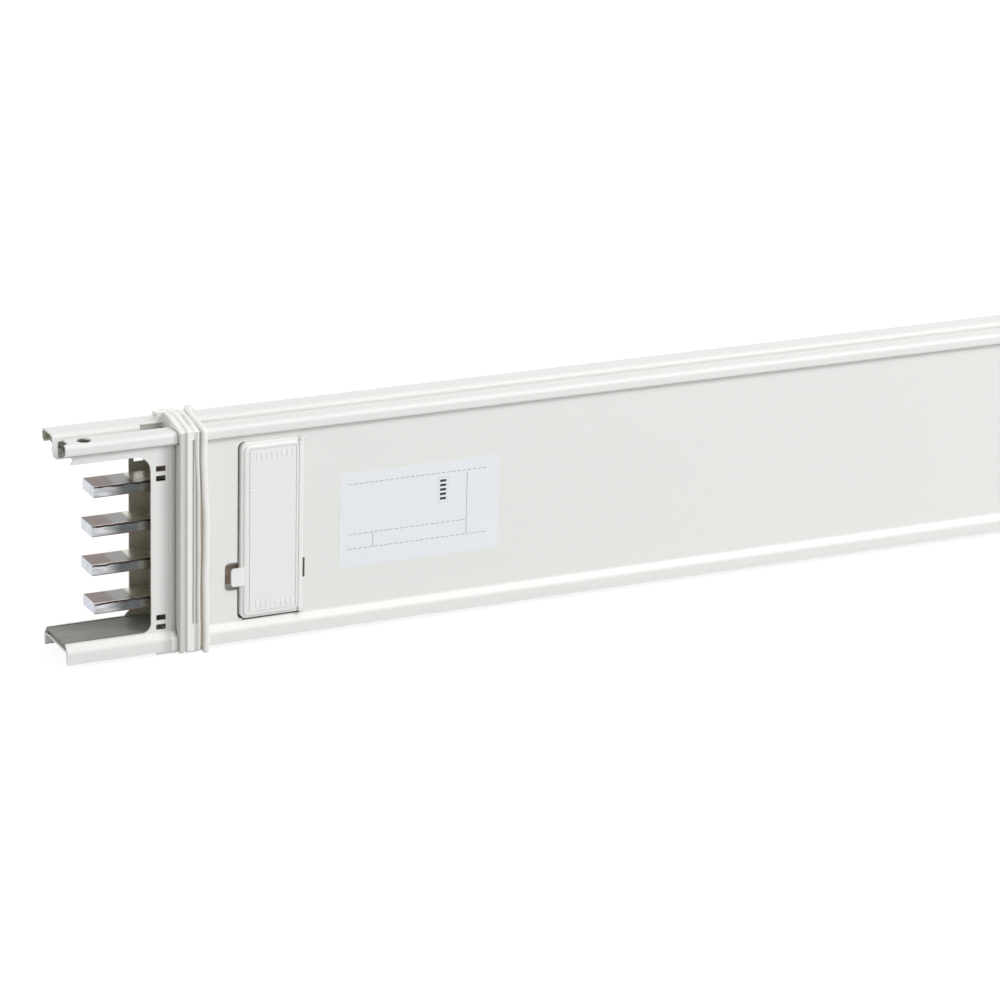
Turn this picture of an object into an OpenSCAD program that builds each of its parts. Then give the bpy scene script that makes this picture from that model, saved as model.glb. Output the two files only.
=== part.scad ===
// Plug-in busbar trunking: one straight length with a joint end and tap-off outlets on both sides.
// X runs along the length, Y across it (front at -Y) and +Z is up.

/* [Casing] */
// Sold length of the section
length = 3000; // [2600:50:4000]
// Height of the steel casing
casing_h = 146; // [140:1:170]
// Depth of the casing across its humps
casing_d = 43; // [41:1:60]
// Thickness of the steel sheet
sheet_t = 1.2; // [0.8:0.1:1.4]
// How far each side sheet lies behind the hump faces
web_inset = 3.5; // [3.2:0.1:6]
// Outside radius of the rail bends
rail_bend = 3; // [2:0.25:3.5]
// Outside radius of the shoulders at the foot of the side sheets
shoulder_r = 4; // [3:0.25:5]
// Radius of the hollow bend above a shoulder
web_fillet = 2.5; // [1.5:0.25:3]
// Half the height of the slope between those two bends
shoulder_slope = 2; // [1.5:0.25:2.5]
// Seam between sheets that meet
seam = 0.1; // [0.05:0.05:0.2]

/* [Top rail] */
// Width of the front hump
front_hump_w = 15.5; // [14:0.5:18]
// Width of the groove between the humps
groove_w = 8.5; // [8:0.5:10]
// Depth of the groove
groove_depth = 13; // [11:0.5:16]
// Inside radius at the groove's floor
groove_r = 3; // [1.5:0.25:3.5]
// Height of the top rail's outer skirts
top_skirt_h = 8.5; // [8:0.5:12]
// Outside radius where a skirt turns in to meet its side sheet
skirt_bend = 2.5; // [1.5:0.25:2.75]
// How far a side sheet reaches up inside its hump
web_rise = 4; // [3:0.5:5]

/* [Bottom rail] */
// Height of the middle of the shoulders
bottom_rail_h = 10; // [8.5:0.5:12]
// Outside radius of the bends of the floor channel
floor_bend = 3; // [2:0.25:3.5]
// Height of the floor channel's lower edges
floor_foot = 1; // [0.5:0.25:3]

/* [Joint end] */
// Gap between the joint end's rails and the collar
rail_gap = 0.3; // [0.2:0.1:1]
// Length of the cut-out in the rails' groove beside the collar
rail_cut_l = 16; // [12:0.5:24]
// How far that cut-out reaches into each hump
rail_cut_side = 1.8; // [1:0.1:2.5]
// Distance from the end to the far edge of the front window
window_l = 58; // [50:0.5:59]
// How much nearer the end the rear plate's window and slots lie
rear_shift = 1.6; // [0:0.1:3]
// How much higher the rear plate's slots lie
rear_lift = 3; // [0:0.2:4]
// Chamfer at the low corner of the rear window
rear_chamfer = 3.8; // [2:0.2:6]
// Height of a window's lower edge above the bottom rail
window_sill = 3; // [2:0.5:5]
// Height of the strip left above a window
window_head = 5.8; // [5:0.1:8]
// Corner radius at the top of a window
window_top_r = 10.5; // [6:0.5:14]
// Corner radius at the bottom of a window
window_low_r = 6; // [4:0.5:9]
// Set-back of the strip above a window from the end
head_setback = 5; // [3:0.5:8]
// Length of the latch slots along the section
slot_l = 6.7; // [5:0.1:8]
// Height of the latch slots
slot_h = 3.9; // [3:0.1:5]
// Distance from the end to the near edge of the latch slots
slot_x = 61.3; // [61:0.1:62]
// Distance between the two slots of a pair
slot_pitch = 6.4; // [5.5:0.1:8]
// Height of the lowest slot's centre above the window's lower edge
slot_rise = 3; // [2.8:0.1:6]
// Depth of the highest slot's centre below the window's upper edge
slot_drop = 9.4; // [6:0.1:12]
// Distance from the end to where the side plates turn in
joggle_x = 70.6; // [69.6:0.2:72]
// Length of that turn
joggle_l = 5; // [4:0.5:7]
// How far the side plates turn in
joggle_depth = 2.6; // [1.8:0.1:3.2]
// Diameter of the joint screw's hole
joint_hole_d = 9.6; // [6:0.1:10]
// Distance from the end to that hole's centre
joint_hole_x = 14.5; // [12:0.5:20]
// Depth of the notch in the front hump's end
notch_l = 3; // [2:0.5:5]
// Width of that notch
notch_w = 9.5; // [6:0.5:10]
// Distance from the casing's front face to the notch
notch_y = 3; // [3:0.5:4]
// Thickness of the tray in the joint end
tray_t = 1.8; // [1:0.1:2.5]

/* [Bars] */
// Depth of a bar
bar_w = 20; // [16:0.5:21]
// Thickness of a bar
bar_t = 7.4; // [5:0.2:9]
// Height from one bar to the next
bar_pitch = 26; // [22:0.5:27]
// How far the middle of the bars lies below the middle of the casing
bar_drop = 2.8; // [0:0.2:5]
// Distance from the end to the tips of the outer bars
bar_tip = 22.5; // [15:0.5:30]
// How much further out the two middle bars reach
bar_stagger = 1.4; // [0:0.2:4]
// Thickness of a bar support along the section
support_l = 9; // [6:0.5:9]
// Clearance round the bars and round the supports
support_gap = 0.1; // [0.05:0.05:0.2]
// Distance from a casing end to its nearest support's middle
support_x = 78.5; // [78:0.5:82]

/* [Collar] */
// Distance from the end to the collar
collar_x = 75; // [75:0.5:80]
// Width of the collar without its bead
collar_l = 16.6; // [15:0.1:20]
// Width of the collar's flat lip
lip_l = 5.4; // [3:0.1:5.5]
// Width of the ridge beside the lip
ridge_l = 3.4; // [3:0.1:4]
// Width of the slits in the collar's front and rear
slit_l = 2; // [0.8:0.1:2.4]
// Width of the ridge beyond the slits
second_ridge_l = 2.4; // [2:0.1:3]
// How far the collar stands out from the casing
collar_proud = 3.5; // [2.5:0.25:6]
// Depth of the steps and grooves in the collar's face
collar_step = 1.8; // [1:0.1:2.2]
// Rise of the collar's top towards its middle
collar_crown = 3; // [0.5:0.25:5]
// How far the collar reaches below the casing
collar_foot = 2; // [1:0.25:3]
// Reach of the collar's tongues under the joint end
tongue_l = 14; // [8:0.5:16]
// Width of those tongues
tongue_w = 5.5; // [4:0.5:8]
// Width of the soft bead beside the collar
bead_l = 3.2; // [2:0.1:5]
// How far the bead stands out from the casing
bead_proud = 4.5; // [3.75:0.25:7]
// How far the bead reaches below the casing
bead_foot = 3.5; // [3.25:0.25:5]
// Fit of the collar on the casing
collar_fit = 0.1; // [0.05:0.05:0.3]

/* [Outlets] */
// Distance from the end to the first outlets' middle
outlet_first = 140; // [138:1:200]
// Distance between outlets
outlet_pitch = 1000; // [800:50:1100]
// Width of an outlet cover
cover_w = 43; // [36:1:50]
// Height of an outlet cover
cover_h = 118.5; // [100:0.5:120]
// How far a cover stands out from the side sheet
cover_proud = 3.5; // [3.2:0.1:4.5]
// Width of the rounding round a cover's raised pad
cover_slope = 1.6; // [1:0.1:2.5]
// Width of the ledge round that pad
cover_ledge = 1.5; // [0.5:0.1:2]
// Depth of the ledge below the pad's face
cover_ledge_t = 1.5; // [1:0.1:1.7]
// Corner radius of the pad
pad_r = 5; // [3:0.5:6]
// Width of the groove between the pad and the hinge knuckle
knuckle_groove = 0.6; // [0.4:0.1:0.8]
// Corner radius of a cover
cover_r = 4; // [2:0.5:6]
// Wall thickness of a cover
cover_t = 1.8; // [1.2:0.1:2]
// How deep a cover's skirt reaches behind the side sheet's face
skirt_depth = 2; // [1.5:0.25:2.5]
// Gap on a cover's latch side
latch_gap = 1.5; // [1:0.1:2.5]
// Gap round a cover's other sides
cover_gap = 0.6; // [0.4:0.1:1]
// Inset of the fine groove round a cover's panel
panel_inset = 5; // [3:0.2:7]
// Width of that groove
panel_groove_w = 0.7; // [0.4:0.1:1]
// Depth of that groove
panel_groove_t = 0.6; // [0.2:0.1:0.8]
// Height of a cover's pull tab
tab_h = 12; // [8:0.5:16]
// Reach of the pull tab beyond the cover
tab_l = 6.8; // [5:0.2:8]
// How far the pull tab lies below the cover's middle
tab_drop = 30.3; // [20:0.5:40]
// Free space round the pull tab
finger_gap = 3.4; // [2.5:0.1:5]
// Height of the relief slot beside a cover's hinge
relief_h = 13; // [8:0.5:16]
// Width of that slot
relief_w = 1; // [0.6:0.1:1.2]
// Radius of a cover's hinge pins
pin_r = 0.9; // [0.7:0.05:1]
// Running clearance of the pins in their ears
pin_gap = 0.08; // [0.04:0.01:0.1]
// Height of a hinge ear
ear_h = 2.4; // [2:0.1:4]
// Depth of an outlet's socket body behind the side sheet
base_t = 4.6; // [4:0.1:5.5]
// Depth of the socket body's recess
base_recess = 3; // [2.4:0.1:3.4]
// Rim of the socket body behind the side sheet
base_rim = 1.6; // [1.2:0.1:2]
// Length of a contact window
contact_l = 18; // [12:0.5:24]
// Height of a contact window
contact_h = 11; // [8:0.5:16]

/* [Hidden] */
ARC = 6;                                  // steps in a quarter bend
OUTLETS_A_SIDE = 3;
eps = 0.01;
web_in = web_inset + sheet_t;             // inner face of a side sheet
mid_y = casing_d / 2;
inner_d = casing_d - 2 * web_in;          // between the side sheets
rear_hump_y = front_hump_w + groove_w;
skirt_z = casing_h - top_skirt_h;         // lower edge of the top rail's skirts
groove_z = casing_h - groove_depth;       // floor of the groove
floor_z = bottom_rail_h - sheet_t;        // top of the floor channel
end_rail_l = collar_x - rail_gap;
sill_z = bottom_rail_h + window_sill;
head_z = skirt_z - window_head;
main_x = collar_x + 2;                    // where the main casing starts under the collar
tray_l = joggle_x - joggle_l / 2;
bars_z = casing_h / 2 - bar_drop;
bar_heights = [for (i = [1.5, 0.5, -0.5, -1.5]) bars_z + i * bar_pitch];
outlet_z = (sill_z + head_z) / 2 + 1.4;
barrel_r = (cover_proud - 0.3) / 2;       // clears the side sheet by 0.3
hinge_x = cover_w / 2 - barrel_r;
hinge_y = web_inset - cover_proud + barrel_r;
face_y = web_inset - cover_proud;         // plane of a cover's face
last_outlet = outlet_first + outlet_pitch * (OUTLETS_A_SIDE - 1);
supports = concat([support_x],
    [for (i = [0 : OUTLETS_A_SIDE - 2], s = [1, 2]) outlet_first + outlet_pitch * (i + s / 3)],
    [for (s = [1, 2]) last_outlet + (length - support_x - last_outlet) * s / 3], [length - support_x]);

// ---- outlines -------------------------------------------------------------

function unit(v) = v / norm(v);
function side_of(a, b) = a[0] * b[1] - a[1] * b[0];

// The arc that rounds corner p between a and b: [centre, first angle, sweep].
function corner(a, p, b, r) =
    let (u = unit(a - p), v = unit(b - p),
         half = acos(u * v) / 2,
         c = p + unit(u + v) * (r / sin(half)),
         s = p + u * (r / tan(half)) - c,
         turn = 180 - 2 * half)
    [c, atan2(s[1], s[0]), side_of(p - a, b - p) > 0 ? turn : -turn];

function arc_points(k, r) = [for (i = [0 : ARC])
    k[0] + r * [cos(k[1] + k[2] * i / ARC), sin(k[1] + k[2] * i / ARC)]];

// Closed outline through points [x, y, radius].
function rounded(path) = [for (i = [0 : len(path) - 1])
    let (n = len(path), q = path[i], p = [q[0], q[1]], a = path[(i + n - 1) % n], b = path[(i + 1) % n])
    each q[2] > 0 ? arc_points(corner([a[0], a[1]], p, [b[0], b[1]], q[2]), q[2]) : [p]];

// One side of a bent sheet whose middle line runs through points [x, y, middle radius].
function sheet_side(path, off) = [for (i = [0 : len(path) - 1])
    let (n = len(path), p = [path[i][0], path[i][1]],
         a = i > 0 ? [path[i - 1][0], path[i - 1][1]] : p,
         b = i < n - 1 ? [path[i + 1][0], path[i + 1][1]] : p,
         d = i > 0 ? unit(p - a) : unit(b - p),
         left = [-d[1], d[0]])
    each (i == 0 || i == n - 1) ? [p + left * off]
        : let (k = corner(a, p, b, path[i][2])) arc_points(k, path[i][2] - sign(k[2]) * off)];

function reversed(list) = [for (i = [len(list) - 1 : -1 : 0]) list[i]];
function sheet(path, t) = concat(sheet_side(path, t / 2), reversed(sheet_side(path, -t / 2)));

// Middle line of a side sheet: web, hollow bend, slope, shoulder and skirt.
function side_path(top, foot, inset) = let (h = sheet_t / 2, y = web_inset + inset + h) [
    [y, top, 0], [y, bottom_rail_h + shoulder_slope, web_fillet + h],
    [h, bottom_rail_h - shoulder_slope, shoulder_r - h], [h, foot, 0]];

// Front half of the casing's outline, grown by g, from its foot to the middle of its top.
function half_outline(g) = let (top = casing_h + g, low = skirt_z - g) concat(
    reversed(sheet_side(side_path(low, -g, 0), -sheet_t / 2 - g)),
    arc_points(corner([web_inset, low], [-g, low], [-g, top], skirt_bend + g), skirt_bend + g),
    arc_points(corner([-g, low], [-g, top], [mid_y, top], rail_bend + g), rail_bend + g));

function casing_outline(g) = let (half = half_outline(g))
    concat(half, reversed([for (p = half) [casing_d - p[0], p[1]]]));

// Extrude an outline drawn in Y and Z along X.
module along_x(from, to) {
    translate([from, 0, 0]) multmatrix([[0, 0, 1, 0], [1, 0, 0, 0], [0, 1, 0, 0]])
        linear_extrude(to - from) children();
}

module box(low, high) {
    translate(low) cube(high - low);
}

// Put the origin under the middle of the part, on the surface that it stands on.
module place() {
    translate([-length / 2, -mid_y, bead_foot]) children();
}

module mirrored_rear() {
    translate([0, casing_d, 0]) mirror([0, 1, 0]) children();
}

// Outlets 1 to 3 are on the front, 4 to 6 on the rear, each in its own front view.
module at_outlet(n) {
    rear = n > OUTLETS_A_SIDE;
    x = outlet_first + outlet_pitch * ((n - 1) % OUTLETS_A_SIDE);
    translate([x, mid_y, outlet_z]) rotate([0, 0, rear ? 180 : 0]) translate([0, -mid_y, 0]) children();
}

// ---- casing ---------------------------------------------------------------

module top_rail_profile() {
    h = sheet_t / 2;
    top = casing_h - h;
    low = skirt_z + h;
    bend = rail_bend - h;
    left = [[web_inset - seam, low, 0], [h, low, skirt_bend - h], [h, top, bend],
        [front_hump_w - h, top, bend], [front_hump_w - h, groove_z - h, groove_r + h]];
    right = [[rear_hump_y + h, groove_z - h, groove_r + h], [rear_hump_y + h, top, bend],
        [casing_d - h, top, bend], [casing_d - h, low, skirt_bend - h],
        [casing_d - web_inset + seam, low, 0]];
    polygon(sheet(concat(left, right), sheet_t));
}

// A channel with its open side down, from y to its mirror image, of sheet t.
module channel_profile(y, foot, top, bend, t) {
    h = t / 2;
    polygon(sheet([[y + h, foot, 0], [y + h, top - h, bend - h], [casing_d - y - h, top - h, bend - h],
        [casing_d - y - h, foot, 0]], t));
}

module floor_profile() {
    channel_profile(sheet_t + seam, floor_foot, floor_z, floor_bend, sheet_t);
}

module side_profile(inset = 0) {
    polygon(sheet(side_path(skirt_z + web_rise, 0, inset), sheet_t));
}

module end_top_rail() color("whitesmoke") place() difference() {
    along_x(0, end_rail_l) top_rail_profile();
    translate([joint_hole_x, front_hump_w / 2 - 0.4, casing_h - rail_bend])
        cylinder(d = joint_hole_d, h = 2 * rail_bend, $fn = 48);
    box([-1, notch_y, casing_h - rail_bend], [notch_l, notch_y + notch_w, casing_h + 1]);
    box([end_rail_l - rail_cut_l, front_hump_w - rail_cut_side, groove_z - 2 * sheet_t],
        [length, rear_hump_y + rail_cut_side, casing_h + 1]);
}

module end_bottom_rail() color("gainsboro") place() along_x(0, end_rail_l) floor_profile();

// The side window, open to the end, as an outline in X and Z.
module window_outline() {
    polygon(rounded([[-1, sill_z, 0], [window_l, sill_z, window_low_r], [window_l, head_z, window_top_r],
        [-1, head_z, 0]]));
}

module rear_window_outline() {
    far = window_l - rear_shift;
    polygon(rounded([[-1, sill_z, 0], [far - rear_chamfer, sill_z, 0], [far, sill_z + rear_chamfer, 0],
        [far, head_z, window_top_r], [-1, head_z, 0]]));
}

// Two latch slots, the lower one centred at z.
module slot_pair(x, z) {
    for (k = [0, 1])
        translate([x, z + k * slot_pitch - slot_h / 2]) square([slot_l, slot_h]);
}

// The bevelled near end of the strip above a window.
module head_end_outline() {
    top = skirt_z + web_rise + 1;
    polygon([[-1, head_z - 1], [head_setback - 1, head_z - 1], [head_setback + 1, head_z + 3],
        [head_setback - 1, skirt_z - 0.2], [head_setback - 1, top], [-1, top]]);
}

// Side plate of the joint end; its web turns in to pass under the collar. Its cut-outs are children.
module end_side_plate() {
    h = sheet_t / 2;
    y0 = web_inset + h;
    y1 = y0 + joggle_depth;
    half_way = joggle_x + joggle_l / 2;
    difference() {
        union() {
            along_x(0, joggle_x) side_profile();
            along_x(joggle_x, half_way) shoulder_profile(0);
            along_x(half_way, end_rail_l) shoulder_profile(joggle_depth);
            translate([0, 0, bottom_rail_h]) linear_extrude(skirt_z + web_rise - bottom_rail_h)
                polygon(sheet([[joggle_x - 2, y0, 0], [joggle_x, y0, joggle_l / 3],
                    [joggle_x + joggle_l, y1, joggle_l / 3], [collar_x + collar_l, y1, 0]], sheet_t));
        }
        across(0, 2 * web_in) {
            children();
            head_end_outline();
        }
    }
}

// The part of a side sheet below its web.
module shoulder_profile(inset) {
    intersection() {
        side_profile(inset);
        square([web_in + inset, bottom_rail_h + shoulder_slope]);
    }
}

module end_front_plate() color("white") place() end_side_plate() {
    window_outline();
    slot_pair(slot_x, sill_z + slot_rise);
    slot_pair(slot_x, head_z - slot_drop - slot_pitch);
}

module end_rear_plate() color("white") place() mirrored_rear() end_side_plate() {
    rear_window_outline();
    slot_pair(slot_x - rear_shift, head_z - slot_drop - slot_pitch + rear_lift);
}

module end_tray() color("darkgray") place() along_x(0, tray_l)
    channel_profile(web_in + seam, floor_z + seam, sill_z, tray_t + 0.5, tray_t);

module casing_top() color("whitesmoke") place() along_x(main_x, length) top_rail_profile();
module casing_bottom() color("gainsboro") place() along_x(main_x, length) floor_profile();

// The cut-out for an outlet, with its finger recess.
module outlet_cutout(grow) {
    left = -cover_w / 2 - latch_gap - grow;
    right = hinge_x + barrel_r + cover_gap + grow;
    tall = cover_h / 2 + cover_gap + grow;
    tab_tall = tab_h / 2 + finger_gap + grow;
    polygon(rounded([[left, -tall, cover_r], [right, -tall, 2], [right, tall, 2], [left, tall, cover_r]]));
    translate([0, -tab_drop - relief_h / 2]) square([right + relief_w, relief_h]);
    polygon(rounded([[-cover_w / 2 - tab_l - finger_gap - grow, -tab_drop - tab_tall, 3.5],
        [0, -tab_drop - tab_tall, 0], [0, -tab_drop + tab_tall, 0],
        [-cover_w / 2 - tab_l - finger_gap - grow, -tab_drop + tab_tall, 3.5]]));
}

// Extrude an outline drawn in X and Z from one Y to another.
module across(from, to) {
    translate([0, to, 0]) rotate([90, 0, 0]) linear_extrude(to - from) children();
}

module casing_side(first) {
    difference() {
        along_x(main_x, length) side_profile();
        for (n = [first : first + OUTLETS_A_SIDE - 1])
            at_outlet_front(n) across(0, 2 * web_in) outlet_cutout(0);
    }
}

// The same places as at_outlet, for a side that is drawn at the front and then turned.
module at_outlet_front(n) {
    x = outlet_first + outlet_pitch * ((n - 1) % OUTLETS_A_SIDE);
    translate([x, 0, outlet_z]) mirror([n > OUTLETS_A_SIDE ? 1 : 0, 0, 0]) children();
}

module casing_front() color("white") place() casing_side(1);
module casing_rear() color("white") place() mirrored_rear() casing_side(OUTLETS_A_SIDE + 1);

// ---- bars and supports ----------------------------------------------------

module bar(i) {
    reach = bar_tip - (i == 1 || i == 2 ? bar_stagger : 0);
    color("silver") place() box([reach, mid_y - bar_w / 2, bar_heights[i] - bar_t / 2],
        [length - reach, mid_y + bar_w / 2, bar_heights[i] + bar_t / 2]);
}

// A support's outline, with corners that clear the side sheets' bends.
module support_outline(y0, y1, z0, z1) {
    c = sheet_t;
    polygon([[y0 + c, z0], [y1 - c, z0], [y1, z0 + c], [y1, z1], [y0, z1], [y0, z0 + c]]);
}

module support(i) {
    g = support_gap;
    x = supports[i];
    side = web_in + g + (i == 0 ? joggle_depth : 0);
    color("saddlebrown") place() difference() {
        along_x(x - support_l / 2, x + support_l / 2)
            support_outline(side, casing_d - side, floor_z + g, groove_z - sheet_t - g);
        for (z = bar_heights)
            box([x - support_l, mid_y - bar_w / 2 - g, z - bar_t / 2 - g],
                [x + support_l, mid_y + bar_w / 2 + g, z + bar_t / 2 + g]);
    }
}

// ---- collar ---------------------------------------------------------------

// Outer outline of the collar: p proud of the sides and top, foot below, with a crowned top.
function collar_ring(p, foot, crown) = let (top = casing_h + p) rounded([
    [-p, -foot, rail_bend], [casing_d + p, -foot, rail_bend], [casing_d + p, top, rail_bend + p],
    [rear_hump_y + rail_bend, top + crown, 2 * rail_bend],
    [front_hump_w - rail_bend, top + crown, 2 * rail_bend], [-p, top, rail_bend + p]]);

module collar_band(from, to, p, foot, crown) {
    along_x(from, to) difference() {
        polygon(collar_ring(p, foot, crown));
        polygon(casing_outline(collar_fit));
    }
}

module seal_collar() color("ivory") place() {
    low = collar_proud - collar_step;
    ridge_x = collar_x + lip_l;
    slit_x = ridge_x + ridge_l;
    second_x = slit_x + slit_l;
    groove_x = second_x + second_ridge_l;
    collar_band(collar_x, ridge_x - 0.6, low, collar_foot, collar_crown);
    collar_band(ridge_x - 0.6, ridge_x, low - 0.5, collar_foot, collar_crown);
    difference() {
        collar_band(ridge_x, groove_x, collar_proud, collar_foot, collar_crown);
        for (rear = [0, 1]) translate([0, rear * casing_d, 0]) mirror([0, rear, 0])
            box([slit_x, -collar_proud - 1, 1.7 * bottom_rail_h],
                [second_x, -low, casing_h - rail_bend - 2]);
    }
    collar_band(groove_x, collar_x + collar_l, low, collar_foot, collar_crown);
    // Face that closes the rails' groove.
    box([collar_x, web_in + joggle_depth + 1, groove_z + 1],
        [main_x - seam, casing_d - web_in - joggle_depth - 1, casing_h + 2 * collar_fit]);
    for (rear = [0, 1]) translate([0, rear * casing_d, 0]) mirror([0, rear, 0])
        box([collar_x - tongue_l, sheet_t, -collar_foot], [collar_x + 1, sheet_t + tongue_w, -collar_fit]);
}

module collar_bead() color("linen") place() {
    x = collar_x + collar_l;
    edge = 0.8;
    collar_band(x, x + bead_l / 4, bead_proud - edge, bead_foot - edge, 0.5);
    collar_band(x + bead_l / 4, x + bead_l * 3 / 4, bead_proud, bead_foot, 0.5);
    collar_band(x + bead_l * 3 / 4, x + bead_l, bead_proud - edge, bead_foot - edge, 0.5);
}

// ---- outlets --------------------------------------------------------------

module hinge_ear() {
    difference() {
        translate([hinge_x, hinge_y, 0]) union() {
            cylinder(r = barrel_r - 0.1, h = ear_h - 0.2, $fn = 32);
            box([-barrel_r + 0.3, 0, 0], [barrel_r - 0.3, web_in + base_rim - hinge_y, ear_h - 0.2]);
        }
        translate([hinge_x, hinge_y, -1]) cylinder(r = pin_r + pin_gap, h = ear_h + 2, $fn = 32);
    }
}

module outlet_base(n) color("white") place() at_outlet(n) {
    left = -cover_w / 2 - tab_l - finger_gap - base_rim;
    right = hinge_x + barrel_r + cover_gap + relief_w + base_rim;
    tall = cover_h / 2 + cover_gap + base_rim;
    difference() {
        box([left, web_in, -tall], [right, web_in + base_t, tall]);
        across(web_in - 1, web_in + base_recess) outlet_cutout(0.2);
        for (z = bar_heights)
            box([-contact_l / 2, web_in, z - outlet_z - contact_h / 2],
                [contact_l / 2, web_in + 2 * base_t, z - outlet_z + contact_h / 2]);
    }
    for (s = [-1, 1]) mirror([0, 0, s < 0 ? 1 : 0]) {
        translate([0, 0, cover_h / 2 - ear_h + 0.2]) hinge_ear();
        box([hinge_x - barrel_r + 0.3, web_in + eps, cover_h / 2 - ear_h + 0.2],
            [hinge_x + barrel_r - 0.3, web_in + base_t - 0.5, cover_h / 2 + cover_gap + 0.5]);
    }
}

module outlet_cover(n) color("white") place() at_outlet(n) {
    back = web_inset + skirt_depth;
    half = cover_h / 2;
    left = -cover_w / 2;
    plate_y = face_y + cover_t;
    barrel = [for (i = [0 : 2 * ARC]) let (a = -90 + 90 * i / ARC)
        [hinge_x, hinge_y] + barrel_r * [cos(a), sin(a)]];
    slope = concat([[0, cover_ledge_t + 0.5], [0.5, cover_ledge_t], [cover_ledge, cover_ledge_t]],
        [for (i = [1 : ARC]) let (a = 180 + 90 * i / ARC)
            [cover_ledge + cover_slope * (1 + cos(a)), cover_ledge_t * (1 + sin(a))]]);
    difference() {
        intersection() {
            translate([0, 0, -half]) linear_extrude(cover_h)
                polygon(concat([[left, back]], [for (p = slope) [left + p[0], face_y + p[1]]], barrel,
                    [[hinge_x - barrel_r, hinge_y + barrel_r], [hinge_x - barrel_r, back]]));
            translate([left - 1, 0, 0]) multmatrix([[0, 0, 1, 0], [1, 0, 0, 0], [0, 1, 0, 0]])
                linear_extrude(cover_w + 2)
                polygon(concat([[back, -half]], [for (p = slope) [face_y + p[1], -half + p[0]]],
                    reversed([for (p = slope) [face_y + p[1], half - p[0]]]), [[back, half]]));
            union() {
                across(face_y + cover_ledge_t, back + 1)
                    polygon(rounded([[left, -half, cover_r], [cover_w, -half, 0], [cover_w, half, 0],
                        [left, half, cover_r]]));
                across(face_y - 1, face_y + cover_ledge_t) pad_outline();
                box([hinge_x - barrel_r, face_y - 1, -half + ear_h],
                    [cover_w, face_y + cover_ledge_t, half - ear_h]);
            }
        }
        box([left + cover_t, plate_y, -half + ear_h + cover_t],
            [hinge_x - barrel_r - cover_t, back + 1, half - ear_h - cover_t]);
        for (s = [-1, 1]) mirror([0, 0, s < 0 ? 1 : 0])
            box([hinge_x - barrel_r - 0.3, face_y - 1, half - ear_h], [cover_w, back + 1, half + 1]);
        across(face_y - 1, face_y + panel_groove_t) difference() {
            panel_outline(0);
            panel_outline(panel_groove_w);
        }
        box([hinge_x - barrel_r - knuckle_groove, face_y - 1, -half - 1],
            [hinge_x - barrel_r, face_y + cover_ledge_t / 2, half + 1]);
    }
    for (s = [-1, 1]) mirror([0, 0, s < 0 ? 1 : 0])
        translate([hinge_x, hinge_y, half - ear_h - 0.5]) cylinder(r = pin_r, h = ear_h, $fn = 32);
    pull_tab();
}

// Raised pad of a cover, up to the hinge knuckle.
module pad_outline() {
    left = -cover_w / 2 + cover_ledge;
    right = hinge_x - barrel_r;
    tall = cover_h / 2 - cover_ledge;
    polygon(rounded([[left, -tall, pad_r], [right, -tall, pad_r], [right, tall, pad_r], [left, tall, pad_r]]));
}

module panel_outline(g) {
    e = panel_inset + g;
    polygon(rounded([[-cover_w / 2 + e, -cover_h / 2 + e - 1, 1.5], [cover_w / 2 - e, -cover_h / 2 + e - 1, 1.5],
        [cover_w / 2 - e, cover_h / 2 - e + 1, 1.5], [-cover_w / 2 + e, cover_h / 2 - e + 1, 1.5]]));
}

module pull_tab() {
    x = -cover_w / 2 - tab_l;
    root_x = -cover_w / 2 + cover_ledge + cover_slope;
    across(face_y + 0.2, face_y + cover_t)
        polygon(rounded([[x, -tab_drop - tab_h / 2, 2], [root_x, -tab_drop - tab_h / 2, 0],
            [root_x, -tab_drop + tab_h / 2, 0], [x, -tab_drop + tab_h / 2, 2]]));
}

end_top_rail();
end_bottom_rail();
end_front_plate();
end_rear_plate();
end_tray();
seal_collar();
collar_bead();
casing_top();
casing_bottom();
casing_front();
casing_rear();
for (i = [0 : 3]) bar(i);
for (i = [0 : 7]) support(i);
for (n = [1 : 6]) outlet_base(n);
for (n = [1 : 6]) outlet_cover(n);
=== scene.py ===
"""Looks of a plug-in busbar trunking section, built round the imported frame."""

import math

import bmesh
import bpy
from mathutils import Matrix, Vector


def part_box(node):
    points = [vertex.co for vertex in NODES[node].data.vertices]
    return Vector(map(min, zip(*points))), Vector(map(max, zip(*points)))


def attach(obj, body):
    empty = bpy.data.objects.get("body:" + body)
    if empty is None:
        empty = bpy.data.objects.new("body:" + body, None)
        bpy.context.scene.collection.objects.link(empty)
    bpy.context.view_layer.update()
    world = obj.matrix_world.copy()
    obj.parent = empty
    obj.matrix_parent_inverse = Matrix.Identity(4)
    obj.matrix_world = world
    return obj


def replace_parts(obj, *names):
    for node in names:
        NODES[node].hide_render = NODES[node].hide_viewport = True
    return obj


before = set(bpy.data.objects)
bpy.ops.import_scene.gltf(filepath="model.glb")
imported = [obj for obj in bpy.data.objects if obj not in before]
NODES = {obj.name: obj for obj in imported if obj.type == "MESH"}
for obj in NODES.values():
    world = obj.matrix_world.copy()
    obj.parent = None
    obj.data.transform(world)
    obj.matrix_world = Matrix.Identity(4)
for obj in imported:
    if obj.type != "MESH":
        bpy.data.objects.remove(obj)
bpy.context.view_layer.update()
MM = 0.001

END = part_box("end_top_rail")
ORIGIN = Vector((END[0][0], END[0][1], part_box("end_front_plate")[0][2]))
CASING_D = (END[1][1] - END[0][1]) / MM
CASING_H = (END[1][2] - ORIGIN[2]) / MM

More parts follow.
